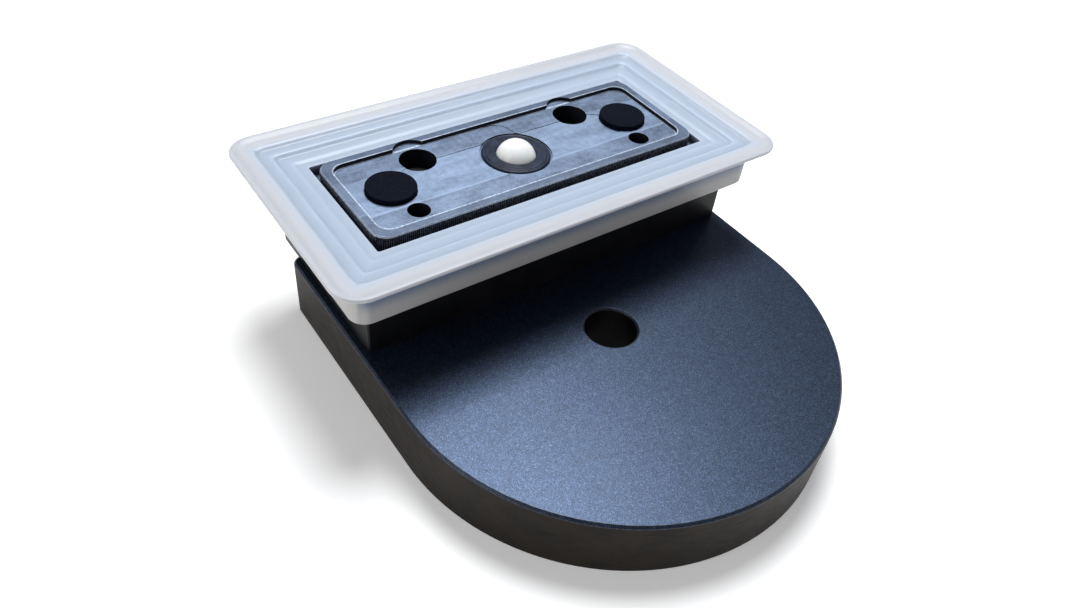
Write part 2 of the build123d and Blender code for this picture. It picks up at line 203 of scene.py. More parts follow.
def millimetres(tree, centre=(0.0, 0.0, 0.0), stretch=(1.0, 1.0, 1.0)):
    """Object coordinates in millimetres about a centre, stretched along each axis."""
    place = add_node(tree, "ShaderNodeTexCoord").outputs["Object"]
    centred = vector_maths(tree, "SUBTRACT", place, tuple(centre))[0]
    inputs = {"Vector": centred, "Scale": tuple(s / MM for s in stretch)}
    return add_node(tree, "ShaderNodeMapping", inputs).outputs["Vector"]


def grain(tree, place, size, detail=2.0, roughness=0.5):
    """Noise with lumps of a given size in millimetres."""
    inputs = {"Vector": place, "Scale": 1.0 / size, "Detail": detail, "Roughness": roughness}
    return add_node(tree, "ShaderNodeTexNoise", inputs).outputs["Fac"]


def speckle(tree, place, size, share):
    """Bright random cells of a given size in millimetres; share is how many of them are bright."""
    cells = add_node(tree, "ShaderNodeTexVoronoi", {"Vector": place, "Scale": 1.0 / size}, feature="F1")
    split = add_node(tree, "ShaderNodeSeparateColor", {"Color": cells.outputs["Color"]})
    return rescale(tree, split.outputs[0], 1.0 - share, 1.0)


def ring_marks(tree, place, scale, distortion, detail, detail_scale):
    """Wavy rings about an upright axis."""
    inputs = {"Vector": place, "Scale": scale, "Distortion": distortion, "Detail": detail,
              "Detail Scale": detail_scale}
    return add_node(tree, "ShaderNodeTexWave", inputs, wave_type="RINGS", rings_direction="Z").outputs["Fac"]


def split(tree, vector):
    """Three parts of a vector."""
    return add_node(tree, "ShaderNodeSeparateXYZ", {"Vector": vector}).outputs


def bore_shade(tree, centre, radius):
    """1 inside an upright bore of a given radius in millimetres, and 0 outside it."""
    flat = millimetres(tree, centre, stretch=(1.0, 1.0, 0.0))
    away = vector_maths(tree, "LENGTH", flat)["Value"]
    return rescale(tree, away, radius + 0.1, radius + 0.5, 1.0, 0.0)


def new_finish(name, **shader_values):
    """Material with a Principled shader and constants set on the shader's own sockets."""
    material = bpy.data.materials.new(name)
    material.use_nodes = True
    tree = material.node_tree
    tree.nodes.clear()
    shader = add_node(tree, "ShaderNodeBsdfPrincipled")
    add_node(tree, "ShaderNodeOutputMaterial", {"Surface": shader.outputs[0]})
    for key, value in shader_values.items():
        shader.inputs[key.replace("_", " ")].default_value = value
    return material, tree, shader


# Finishes

def lay_finish(made, tone, rough, relief):
    """Joins a tone, a roughness and a small relief to a new finish, and returns its material.

    rough is a noise with the roughness at its low and high ends. relief is a height with its depth in
    millimetres and its strength.
    """
    material, tree, shader = made
    wear, *ends = rough
    height, depth, strength = relief
    tree.links.new(tone, shader.inputs["Base Color"])
    tree.links.new(rescale(tree, wear, 0.3, 0.7, *ends), shader.inputs["Roughness"])
    bump = add_node(tree, "ShaderNodeBump", {"Height": height, "Distance": depth * MM, "Strength": strength})
    tree.links.new(bump.outputs[0], shader.inputs["Normal"])
    return material


def grainy_finish(name, base, light, lumps, blend, rough, relief, **shader_values):
    """Finish whose tone, roughness and relief all follow one noise.

    lumps is the size in millimetres, detail and roughness of the noise; blend is where it turns light.
    """
    made = new_finish(name, **shader_values)
    tree = made[1]
    noise = grain(tree, millimetres(tree), *lumps)
    tone = blend_colours(tree, rescale(tree, noise, *blend), base, light)
    return lay_finish(made, tone, (noise, *rough), (noise, *relief))


def depth_inside(tree, half_length, half_width, corner):
    """Distance in millimetres inwards from a rounded rectangle about the cup's centre, from above."""
    flat = millimetres(tree, CUP_CENTRE, stretch=(1.0, 1.0, 0.0))
    mirrored = vector_maths(tree, "ABSOLUTE", flat)[0]
    past = vector_maths(tree, "SUBTRACT", mirrored, (half_length - corner, half_width - corner, 0.0))[0]
    beyond = vector_maths(tree, "MAXIMUM", past, (0.0, 0.0, 0.0))[0]
    round_part = vector_maths(tree, "LENGTH", beyond)["Value"]
    parts = split(tree, past)
    flat_part = maths(tree, "MINIMUM", maths(tree, "MAXIMUM", parts[0], parts[1]), 0.0)
    return maths(tree, "SUBTRACT", corner, maths(tree, "ADD", round_part, flat_part))


def painted_step_light(tree, depth):
    """Painted highlights and shade in bands along the cup's steps, by the depth in millimetres inwards from
    the edge of the lip.
    """
    share = maths(tree, "DIVIDE", depth, STEP_LIGHT[-1][0])
    bands = add_node(tree, "ShaderNodeValToRGB", {"Fac": share})
    ramp = bands.color_ramp
    while len(ramp.elements) < len(STEP_LIGHT):
        ramp.elements.new(0.5)
    for element, (distance, level) in zip(ramp.elements, STEP_LIGHT):
        element.position = distance / STEP_LIGHT[-1][0]
        element.color = (level / 2, level / 2, level / 2, 1.0)
    return maths(tree, "MULTIPLY", bands.outputs["Color"], 2.0)


def silicone_finish():
    """Frosted translucent silicone: warm where it is thin, cooler on the steps, cloudy; with painted
    highlights and shade in bands along the steps, a painted shadow under the lip and painted shade deep in
    the opening.
    """
    colours = bpy.context.scene.block_colours
    made = new_finish("Frosted silicone", IOR=1.41, Subsurface_Weight=0.6)
    tree, shader = made[1:]
    shader.inputs["Subsurface Radius"].default_value = (1.0, 1.05, 1.15)
    shader.inputs["Subsurface Scale"].default_value = 0.9 * MM
    place = millimetres(tree)
    cloud = grain(tree, place, 7.0, 4.0, 0.6)
    fine = grain(tree, place, 0.22, 2.0)
    drift = maths(tree, "MULTIPLY", maths(tree, "SUBTRACT", cloud, 0.5), 0.9)
    true_depth = depth_inside(tree, LIP_LENGTH, LIP_WIDTH, LIP_CORNER)
    inwards = maths(tree, "ADD", true_depth, drift)
    tone = blend_colours(tree, rescale(tree, inwards, 3.2, 5.6), colours.silicone_lip, colours.silicone)
    _, across, height = split(tree, place)
    aside = maths(tree, "ABSOLUTE", maths(tree, "SUBTRACT", across, CUP_CENTRE.y / MM))
    # Painted shadow under the lip's overhang on the front and back walls, dark at the top and lighter towards
    # the bottom
    lip_shadow_mask = rescale(tree, height, 29.8, 32.4, 0.05, 1.0)
    lip_shadow_mask = maths(tree, "MULTIPLY", rescale(tree, aside, 23.4, 24.8), lip_shadow_mask)
    body_with_lip_shadow = blend_colours(tree, lip_shadow_mask, colours.silicone_body, colours.painted_lip_shadow_colour)
    tone = blend_colours(tree, rescale(tree, height, 34.4, 36.0, 1.0, 0.0), tone, body_with_lip_shadow)
    # Painted shade on the walls of the opening below the ledge
    window_shadow = rescale(tree, true_depth, 13.0, 13.6)
    window_shadow = maths(tree, "MULTIPLY", window_shadow, rescale(tree, height, 34.5, LEDGE - 0.05, 1.0, 0.0))
    tone = blend_colours(tree, window_shadow, tone, (0.07, 0.09, 0.13))
    # Painted highlights and shade along the steps scale the tone
    step_light_inputs = {0: tone, "Scale": painted_step_light(tree, inwards)}
    tone = add_node(tree, "ShaderNodeVectorMath", step_light_inputs, operation="SCALE").outputs[0]
    return lay_finish(made, tone, (fine, 0.30, 0.46), (fine, 0.012, 0.5))


def blasted_finish():
    """Bead-blasted black anodising with fine grains that catch the light."""
    colours = bpy.context.scene.block_colours
    made = new_finish("Blasted black anodising", Metallic=0.7)
    tree = made[1]
    place = millimetres(tree)
    pits = grain(tree, place, 0.16, 2.0, 0.6)
    mottle = grain(tree, place, 1.4, 3.0)
    sparks = speckle(tree, place, 0.15, 0.14)
    tone = blend_colours(tree, rescale(tree, pits, 0.35, 0.70), colours.plate, colours.plate_grain)
    tone = blend_colours(tree, rescale(tree, mottle, 0.2, 0.8, 0.0, 0.35), tone, (0.010, 0.013, 0.020))
    tone = blend_colours(tree, maths(tree, "MULTIPLY", sparks, 0.4), tone, (0.15, 0.20, 0.29))
    return lay_finish(made, tone, (pits, 0.30, 0.42), (pits, 0.030, 0.7))


def side_finish(name, base, light):
    """Plain milled anodising of upright walls, duller than the flats, with painted shade that turns them
    black inside the bolt hole.
    """
    made = new_finish(name, Metallic=0.05, Specular_IOR_Level=0.12)
    tree = made[1]
    feed = grain(tree, millimetres(tree, stretch=(0.1, 0.1, 1.0)), 0.3, 3.0)
    cloud = grain(tree, millimetres(tree), 7.0, 3.0)
    tone = blend_colours(tree, rescale(tree, cloud, 0.3, 0.7), base, light)
    # Painted shade: the walls turn black inside the bolt hole
    bore = bore_shade(tree, (0.0, 0.0, 0.0), BOLT_HOLE_RADIUS)
    tone = blend_colours(tree, bore, tone, (0.001, 0.001, 0.001))
    return lay_finish(made, tone, (feed, 0.45, 0.58), (feed, 0.006, 0.4))


def milled_black_finish():
    """Milled black anodising with faint feed lines along the bar."""
    base = bpy.context.scene.block_colours.riser
    made = new_finish("Milled black anodising", Metallic=0.1, Specular_IOR_Level=0.15)
    tree = made[1]
    lines = grain(tree, millimetres(tree, stretch=(0.04, 1.0, 1.0)), 0.25, 3.0)
    cloud = grain(tree, millimetres(tree), 6.0, 3.0)
    tone = blend_colours(tree, rescale(tree, cloud, 0.3, 0.7), base, scaled(base, 2.2))
    return lay_finish(made, tone, (lines, 0.34, 0.50), (lines, 0.01, 0.5))


def cutter_sweeps(tree, aside):
    """Faint arcs left by a cutter that turned about a point beside the valve; aside is in millimetres."""
    centre = VALVE_CENTRE + Vector((aside * MM, 5.0 * MM, 0.0))
    return ring_marks(tree, millimetres(tree, centre), 0.16, 0.8, 3.0, 0.7)


def core_finish():
    """Dark grey anodising with cloudy cutter marks; a painted sheen lightens a band along the middle, with a
    painted highlight along its front border, painted highlights along the rims and painted shade deep in the
    bores.
    """
    colours = bpy.context.scene.block_colours
    made = new_finish("Milled grey anodising", Metallic=0.45)
    tree = made[1]
    place = millimetres(tree, VALVE_CENTRE)
    _, across, height = split(tree, place)
    # Painted sheen: a lighter band along the middle of the pocket floor
    channel_sheen = maths(tree, "ABSOLUTE", maths(tree, "SUBTRACT", across, 0.45))
    channel_sheen = rescale(tree, channel_sheen, 5.9, 6.4, 1.0, 0.0)
    # Painted highlight along the front border of the lighter band
    border_highlight = maths(tree, "ABSOLUTE", maths(tree, "ADD", across, 5.8))
    border_highlight = rescale(tree, border_highlight, 0.12, 0.42, 1.0, 0.0)
    middle = VALVE_CENTRE.z / MM
    rim = rescale(tree, height, 36.75 - middle, 36.95 - middle)
    sweeps = maths(tree, "ADD", cutter_sweeps(tree, -31.0), cutter_sweeps(tree, 31.0))
    cloud = grain(tree, millimetres(tree, stretch=(0.45, 1.0, 1.0)), 3.4, 5.0, 0.6)
    streaks = grain(tree, millimetres(tree, stretch=(0.12, 1.0, 1.0)), 0.4, 3.0)
    fine = grain(tree, place, 0.30, 3.0, 0.7)
    lift = maths(tree, "MULTIPLY", rescale(tree, cloud, 0.35, 0.70), 0.42)
    specks = rescale(tree, fine, 0.38, 0.62)
    for pattern, amount in ((channel_sheen, 0.30), (border_highlight, 0.45), (sweeps, 0.05), (streaks, 0.22), (specks, 0.26)):
        lift = maths(tree, "MULTIPLY_ADD", pattern, amount, lift)
    lift = maths(tree, "MULTIPLY", lift, rescale(tree, rim, 0.0, 1.0, 1.0, 0.52))
    lift = maths(tree, "MINIMUM", lift, 1.0)
    tone = blend_colours(tree, lift, colours.core, colours.core_cloud)
    # Painted highlight along the rims of the pocket and of the outline, broken up by noise
    highlight_breakup = rescale(tree, grain(tree, place, 0.55, 4.0, 0.75), 0.38, 0.62, 0.25, 1.0)
    pocket = maths(tree, "ABSOLUTE", depth_inside(tree, *CORE_POCKET))
    outline = maths(tree, "ABSOLUTE", depth_inside(tree, *CORE_OUTLINE))
    edge_highlight = maths(tree, "MAXIMUM", rescale(tree, pocket, 0.16, 0.38, 1.0, 0.0),
                 rescale(tree, outline, 0.12, 0.40, 0.7, 0.0))
    tone = blend_colours(tree, maths(tree, "MULTIPLY", edge_highlight, highlight_breakup), tone, (0.62, 0.70, 0.82))
    # Painted shade: the tone turns near black deep in the bores below the pocket floor
    depth = rescale(tree, height, 35.4 - middle, 35.9 - middle, 1.0, 0.0)
    tone = blend_colours(tree, depth, tone, (0.003, 0.003, 0.004))
    relief = maths(tree, "MULTIPLY_ADD", sweeps, 0.1, fine)
    return lay_finish(made, tone, (streaks, 0.36, 0.50), (relief, 0.012, 0.6))


def edge_wear_and_highlight_finish(name, base, light, metallic=0.5):
    """Slightly rubbed anodising along a machined edge; in the pale colours of the core plate it is a painted
    highlight.
    """
    return grainy_finish(name, base, light, (0.9, 4.0, 0.7), (0.35, 0.65), (0.45, 0.30), (0.01, 0.4),
                         Metallic=metallic)


def serration_finish():
    """Dark anodising in the fine serrations, with rubbed crests."""
    return grainy_finish("Serrated anodising", (0.026, 0.028, 0.040), (0.24, 0.26, 0.33),
                         (0.45, 3.0, 0.75), (0.42, 0.66), (0.35, 0.55), (0.01, 0.5), Metallic=0.4)


def rubber_finish(name, base, grain_size=0.28, light=(0.008, 0.012, 0.022), depth=0.03, roughness=0.62):
    """Matt rubber with a granular skin and pale dust in the hollows."""
    made = new_finish(name, IOR=1.5, Specular_IOR_Level=0.03)
    tree = made[1]
    place = millimetres(tree)
    skin = grain(tree, place, grain_size, 3.0, 0.6)
    dust = speckle(tree, place, grain_size, 0.22)
    tone = blend_colours(tree, maths(tree, "MULTIPLY", dust, 0.7), base, light)
    return lay_finish(made, tone, (skin, roughness - 0.1, roughness + 0.12), (skin, depth, 0.7))


def seat_finish():
    """Satin black ring with fine turning marks about the valve axis."""
    base = bpy.context.scene.block_colours.seat
    made = new_finish("Turned satin black", IOR=1.5, Specular_IOR_Level=0.22)
    tree = made[1]
    place = millimetres(tree, VALVE_CENTRE)
    turning = ring_marks(tree, place, 1.3, 0.6, 2.0, 1.0)
    cloud = grain(tree, place, 2.2, 4.0, 0.65)
    tone = blend_colours(tree, rescale(tree, cloud, 0.35, 0.7), base, scaled(base, 3.4))
    return lay_finish(made, tone, (cloud, 0.34, 0.48), (turning, 0.006, 0.5))


def ball_finish():
    """Polished white plastic with a hint of depth."""
    base = bpy.context.scene.block_colours.ball
    made = new_finish("Polished white plastic", IOR=1.48, Subsurface_Weight=0.25,
                      Coat_Weight=0.3, Coat_Roughness=0.12)
    tree, shader = made[1:]
    shader.inputs["Subsurface Scale"].default_value = 1.0 * MM
    cloud = grain(tree, millimetres(tree), 3.0, 2.0)
    warm = (base[0], base[1] * 0.985, base[2] * 0.96)
    tone = blend_colours(tree, rescale(tree, cloud, 0.3, 0.7), base, warm)
    skin = grain(tree, millimetres(tree), 0.5)
    return lay_finish(made, tone, (cloud, 0.20, 0.28), (skin, 0.002, 0.3))


def steel_finish(name, base, light, metallic, roughness):
    """Steel with fine marks along the axis and slight staining."""
    made = new_finish(name, Metallic=metallic)
    tree = made[1]
    marks = grain(tree, millimetres(tree, stretch=(1.0, 1.0, 0.15)), 0.12, 3.0)
    stain = grain(tree, millimetres(tree), 1.5, 3.0)
    tone = blend_colours(tree, rescale(tree, stain, 0.35, 0.7), base, light)
    return lay_finish(made, tone, (marks, roughness, roughness + 0.15), (marks, 0.004, 0.5))


def plastic_finish():
    """Moulded black plastic of the ball's guide."""
    return grainy_finish("Moulded black plastic", (0.018, 0.018, 0.019), (0.045, 0.045, 0.047),
                         (0.3, 3.0), (0.3, 0.7), (0.40, 0.55), (0.01, 0.5), IOR=1.5)


def floor_finish():
    """Plain pale floor, very slightly uneven in tone."""
    base = bpy.context.scene.block_colours.floor
    material, tree, shader = new_finish("Pale floor", Roughness=0.9, Specular_IOR_Level=0.1,
                                        Emission_Strength=0.28)
    shader.inputs["Emission Color"].default_value = (1.0, 1.0, 1.0, 1.0)
    soft = grain(tree, millimetres(tree), 220.0, 2.0)
    tree.links.new(blend_colours(tree, soft, base, scaled(base, 0.985)), shader.inputs["Base Color"])
    return material


# Geometry Nodes trees

def new_tree(name, sockets):
    """Geometry Nodes tree with a geometry input and output and the given named inputs."""
    tree = bpy.data.node_groups.new(name, "GeometryNodeTree")
    tree.interface.new_socket("Geometry", in_out="INPUT", socket_type="NodeSocketGeometry")
    keys = {}
    for label, kind in sockets:
        socket = tree.interface.new_socket(label, in_out="INPUT", socket_type=f"NodeSocket{kind}")
        keys[label] = socket.identifier
    tree.interface.new_socket("Geometry", in_out="OUTPUT", socket_type="NodeSocketGeometry")
    return tree, tree.nodes.new("NodeGroupInput").outputs, keys


def shape_node(tree, kind, inputs=None, **settings):
    """First output of a geometry node."""
    return add_node(tree, f"GeometryNode{kind}", inputs, **settings).outputs[0]


def end_tree(tree, geometry, material):
    """Realizes the geometry, gives it its finish and joins it to the tree's output."""
    real = shape_node(tree, "RealizeInstances", {"Geometry": geometry})
    finished = shape_node(tree, "SetMaterial", {"Geometry": real, "Material": material})
    add_node(tree, "NodeGroupOutput", {"Geometry": finished})


def rings_tree():
    """Skin through a stack of rounded rectangles or circles, one for each point of the profile."""
    tree, given, keys = new_tree("Rings along a profile", [
        ("Corner steps", "Int"), ("Centre", "Vector"), ("Finish", "Material")])
    profile, steps = given["Geometry"], given["Corner steps"]
    rings = shape_node(tree, "AttributeDomainSize", {"Geometry": profile})
    round_count = maths(tree, "MULTIPLY", steps, 4.0)
    columns = maths(tree, "ADD", round_count, 1.0)
    grid = shape_node(tree, "MeshGrid", {"Vertices X": columns, "Vertices Y": rings})
    index = shape_node(tree, "InputIndex")
    column = maths(tree, "FLOOR", maths(tree, "DIVIDE", maths(tree, "ADD", index, 0.5), rings))
    row = maths(tree, "SUBTRACT", index, maths(tree, "MULTIPLY", column, rings))
    place = maths(tree, "MODULO", column, round_count)
    corner = maths(tree, "FLOOR", maths(tree, "DIVIDE", maths(tree, "ADD", place, 0.5), steps))
    along = maths(tree, "SUBTRACT", place, maths(tree, "MULTIPLY", corner, steps))
    share = maths(tree, "DIVIDE", along, maths(tree, "SUBTRACT", steps, 1.0))
    angle = maths(tree, "MULTIPLY", maths(tree, "ADD", corner, share), pi / 2)
    diagonal = maths(tree, "MULTIPLY_ADD", corner, pi / 2, pi / 4)
    values = {}
    for label in RING_VALUES:
        named = shape_node(tree, "InputNamedAttribute", {"Name": label}, data_type="FLOAT")
        inputs = {"Geometry": profile, "Value": named, "Index": row}
        values[label] = shape_node(tree, "SampleIndex", inputs, data_type="FLOAT", domain="POINT")
    ends = []
    for label, wave in (("half_length", "COSINE"), ("half_width", "SINE")):
        side = maths(tree, "SIGN", maths(tree, wave, diagonal))
        straight = maths(tree, "SUBTRACT", values[label], values["corner_radius"])
        curve = maths(tree, "MULTIPLY", values["corner_radius"], maths(tree, wave, angle))
        ends.append(maths(tree, "MULTIPLY_ADD", side, straight, curve))
    spot = add_node(tree, "ShaderNodeCombineXYZ", {"X": ends[0], "Y": ends[1], "Z": values["height"]})
    moved = vector_maths(tree, "ADD", spot.outputs[0], given["Centre"])[0]
    skin = shape_node(tree, "SetPosition", {"Geometry": grid, "Position": moved})
    skin = shape_node(tree, "MergeByDistance", {"Geometry": skin, "Distance": JOIN_DISTANCE})
    skin = shape_node(tree, "SetShadeSmooth", {"Geometry": skin})
    end_tree(tree, skin, given["Finish"])
    return tree, keys


def serration_tree():
    """Fine upright ribs along a rounded rectangle."""
    tree, given, keys = new_tree("Serrations along a side", [
        ("Length", "Float"), ("Width", "Float"), ("Corner radius", "Float"), ("Height", "Float"),
        ("Pitch", "Float"), ("Rib radius", "Float"), ("Centre", "Vector"), ("Finish", "Material")])
    size = {"Width": given["Length"], "Height": given["Width"]}
    outline = shape_node(tree, "CurvePrimitiveQuadrilateral", size)
    rounded = shape_node(tree, "FilletCurve", {
        "Curve": outline, "Count": 12, "Radius": given["Corner radius"]}, mode="POLY")
    spots = add_node(tree, "GeometryNodeCurveToPoints", {
        "Curve": rounded, "Length": given["Pitch"]}, mode="LENGTH")
    rib = shape_node(tree, "MeshCylinder", {
        "Vertices": 4, "Radius": given["Rib radius"], "Depth": given["Height"]}, fill_type="NGON")
    copies = shape_node(tree, "InstanceOnPoints", {"Points": spots.outputs["Points"], "Instance": rib})
    along = {"Vector": spots.outputs["Tangent"]}
    turn = add_node(tree, "FunctionNodeAlignEulerToVector", along, axis="X").outputs[0]
    turned_ribs = shape_node(tree, "RotateInstances", {"Instances": copies, "Rotation": turn})
    moved = shape_node(tree, "TranslateInstances", {
        "Instances": turned_ribs, "Translation": given["Centre"], "Local Space": False})
    end_tree(tree, moved, given["Finish"])
    return tree, keys


def spring_tree():
    """Coil of round wire with closed ends."""
    tree, given, keys = new_tree("Coil spring", [
        ("Radius", "Float"), ("Wire radius", "Float"), ("Height", "Float"), ("Turns", "Float"),
        ("Centre", "Vector"), ("Finish", "Material")])
    line = shape_node(tree, "CurvePrimitiveLine", {"End": (0.0, 0.0, 1.0)})
    fine = shape_node(tree, "ResampleCurve", {"Curve": line, "Count": 320})
    turns = given["Turns"]
    wound = maths(tree, "MULTIPLY", shape_node(tree, "SplineParameter"), turns)
    angle = maths(tree, "MULTIPLY", wound, 2 * pi)
    active = maths(tree, "SUBTRACT", turns, 2.0)
    climbed = maths(tree, "DIVIDE", maths(tree, "SUBTRACT", wound, 1.0), active)
    climbed = maths(tree, "MAXIMUM", maths(tree, "MINIMUM", climbed, 1.0), 0.0)
    dead = maths(tree, "MULTIPLY", given["Wire radius"], 2.05)
    start = maths(tree, "MINIMUM", wound, 1.0)
    end = maths(tree, "MAXIMUM", maths(tree, "SUBTRACT", wound, maths(tree, "SUBTRACT", turns, 1.0)), 0.0)
    free = maths(tree, "SUBTRACT", given["Height"], maths(tree, "MULTIPLY", dead, 2.0))
    rise = maths(tree, "MULTIPLY", climbed, free)
    spot = add_node(tree, "ShaderNodeCombineXYZ", {
        "X": maths(tree, "MULTIPLY", given["Radius"], maths(tree, "COSINE", angle)),
        "Y": maths(tree, "MULTIPLY", given["Radius"], maths(tree, "SINE", angle)),
        "Z": maths(tree, "MULTIPLY_ADD", maths(tree, "ADD", start, end), dead, rise)})
    moved = vector_maths(tree, "ADD", spot.outputs[0], given["Centre"])[0]
    coil = shape_node(tree, "SetPosition", {"Geometry": fine, "Position": moved})
    section = shape_node(tree, "CurvePrimitiveCircle", {"Resolution": 12, "Radius": given["Wire radius"]})
    wire = shape_node(tree, "CurveToMesh", {"Curve": coil, "Profile Curve": section, "Fill Caps": True})
    end_tree(tree, shape_node(tree, "SetShadeSmooth", {"Geometry": wire}), given["Finish"])
    return tree, keys


def screw_tree():
    """Socket head screw: the given turned body with a hexagon socket and knurls round its head."""
    tree, given, keys = new_tree("Socket head screw", [
        ("Head radius", "Float"), ("Head height", "Float"), ("Socket radius", "Float"),
        ("Socket depth", "Float"), ("Knurl radius", "Float"), ("Knurl count", "Int"),
        ("Place", "Vector"), ("Turn", "Rotation"), ("Finish", "Material")])
    parts = {}
    for label, radius, height, lift in (
            ("socket", "Socket radius", maths(tree, "MULTIPLY", given["Socket depth"], 2.0), 1.0),
            ("knurl", "Knurl radius", maths(tree, "MULTIPLY", given["Head height"], 0.8), 0.45)):
        prism = shape_node(tree, "MeshCylinder", {"Vertices": 6, "Radius": given[radius], "Depth": height})
        level = {"Z": maths(tree, "MULTIPLY", given["Head height"], lift)}
        place = add_node(tree, "ShaderNodeCombineXYZ", level).outputs[0]
        parts[label] = shape_node(tree, "Transform", {"Geometry": prism, "Translation": place})
    cut = add_node(tree, "GeometryNodeMeshBoolean", {"Mesh 1": given["Geometry"]}, operation="DIFFERENCE")
    tree.links.new(parts["socket"], cut.inputs["Mesh 2"])
    size = {"Vertices": given["Knurl count"], "Radius": given["Head radius"]}
    circle = shape_node(tree, "MeshCircle", size)
    knurls = shape_node(tree, "InstanceOnPoints", {"Points": circle, "Instance": parts["knurl"]})
    knurls = shape_node(tree, "RealizeInstances", {"Geometry": knurls})
    whole = add_node(tree, "GeometryNodeJoinGeometry", {"Geometry": cut.outputs["Mesh"]})
    tree.links.new(knurls, whole.inputs["Geometry"])
    placed = shape_node(tree, "Transform", {
        "Geometry": whole.outputs[0], "Translation": given["Place"], "Rotation": given["Turn"]})
    end_tree(tree, placed, given["Finish"])
    return tree, keys


# Meshes

def new_piece(name, mesh):
    """Object at the origin, linked to the scene."""
    piece = bpy.data.objects.new(name, mesh)
    bpy.context.scene.collection.objects.link(piece)
    return piece


def run_tree(piece, made, values):
    """Runs a Geometry Nodes tree on a piece and keeps the result as its plain mesh."""
    tree, keys = made
    modifier = piece.modifiers.new(tree.name, "NODES")
    modifier.node_group = tree
    for label, value in values.items():
        modifier[keys[label]] = value
    piece.update_tag()
    bpy.context.view_layer.update()
    shown = piece.evaluated_get(bpy.context.evaluated_depsgraph_get())
    mesh = bpy.data.meshes.new_from_object(shown)
    piece.modifiers.clear()
    piece.data = mesh
    mesh.name = piece.name
    if not mesh.polygons:
        raise RuntimeError(f"{piece.name}: the tree {tree.name} made no faces")
    return piece


def soften(profile, steps=4):
    """Rounds the corners of a closed profile; a row is one ring's four values and its softness."""
    soft = []
    count = len(profile)
    for number, row in enumerate(profile):
        before, after = profile[number - 1], profile[(number + 1) % count]
        softness = row[4]
        if softness == 0.0:
            soft.append(row[:4])
            continue
        ends = []
        for other in (before, after):
            reach = max(hypot(other[0] - row[0], other[3] - row[3]), 1e-9)
            share = min(softness / reach, 0.49)
            ends.append([a + (b - a) * share for a, b in zip(row[:4], other[:4])])
        for step in range(steps + 1):
            t = step / steps
            soft.append([(1 - t) ** 2 * a + 2 * t * (1 - t) * m + t * t * b
                         for a, m, b in zip(ends[0], row[:4], ends[1])])
    return soft


def profile_mesh(name, rows):
    """Points that carry one ring's sizes each, ordered so that the skin faces outwards."""
    area = 0.0
    for number, row in enumerate(rows):
        after = rows[(number + 1) % len(rows)]
        area += row[0] * after[3] - after[0] * row[3]
    if area < 0:
        rows = rows[::-1]
    closed = rows + [rows[0]]
    mesh = bpy.data.meshes.new(name)
    mesh.from_pydata([(0.0, 0.0, row[3]) for row in closed], [], [])
    for column, label in enumerate(RING_VALUES):
        attribute = mesh.attributes.new(label, "FLOAT", "POINT")
        attribute.data.foreach_set("value", [row[column] for row in closed])
    return mesh


def outward_volume(mesh):
    """Signed volume of a mesh; it is positive if the faces point outwards."""
    shape = bmesh.new()
    shape.from_mesh(mesh)
    volume = shape.calc_volume(signed=True)
    shape.free()
    return volume


def ring_piece(name, profile, centre, finish, corner_steps=10, soft_steps=4, crease=40.0):
    """Closed skin through the rings of a softened profile, in millimetres above the centre."""
    rows = [[v * MM for v in row] for row in soften(profile, soft_steps)]
    piece = new_piece(name, profile_mesh(name, rows))
    run_tree(piece, rings_tree(), {"Corner steps": corner_steps, "Centre": centre, "Finish": finish})
    if outward_volume(piece.data) <= 0:
        piece.data.flip_normals()
    piece.data.set_sharp_from_angle(angle=radians(crease))
    return piece


def turned(points):
    """Profile of a turned part: radius, height and softness become rows of circles."""
    return [(radius, radius, radius, height, softness) for radius, height, softness in points]


def softened_copy(name, node, width, finishes):
    """Copy of a CAD node's mesh with rounded edges; it takes a finish for flats, sides and edges."""
    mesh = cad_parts[node].data.copy()
    mesh.name = name
    mesh.materials.clear()
    for finish in finishes:
        mesh.materials.append(finish)
    shape = bmesh.new()
    shape.from_mesh(mesh)
    bmesh.ops.remove_doubles(shape, verts=shape.verts, dist=JOIN_DISTANCE)
    bmesh.ops.dissolve_limit(shape, angle_limit=radians(0.2), verts=shape.verts, edges=shape.edges)
    shape.normal_update()
    for face in shape.faces:
        face.smooth = True
        face.material_index = 1 if abs(face.normal.z) < 0.5 else 0
    shape.to_mesh(mesh)
    shape.free()
    if mesh.attributes.get("custom_normal"):
        mesh.attributes.remove(mesh.attributes["custom_normal"])
    piece = new_piece(name, mesh)
    mesh.set_sharp_from_angle(angle=radians(30.0))
    bevel = piece.modifiers.new("Rounded edges", "BEVEL")
    bevel.width = width
    bevel.segments = 2
    bevel.limit_method = "ANGLE"
    bevel.angle_limit = radians(30.0)
    bevel.use_clamp_overlap = True
    bevel.harden_normals = True
    bevel.material = len(finishes) - 1
    return piece


def settle(piece, body, slot, *nodes):
    """Rides a piece on its body and hides the CAD nodes that it stands for."""
    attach(piece, body)
    if nodes:
        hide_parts(*nodes)


def dress_node(node, finish):
    """Gives a CAD node a finish."""
    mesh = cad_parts[node].data
    mesh.materials.clear()
    mesh.materials.append(finish)


def place_over(node, height=0.0):
    """Point on the upright axis of a CAD node."""
    low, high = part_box(node)
    return Vector(((low.x + high.x) / 2, (low.y + high.y) / 2, height))


# Operators

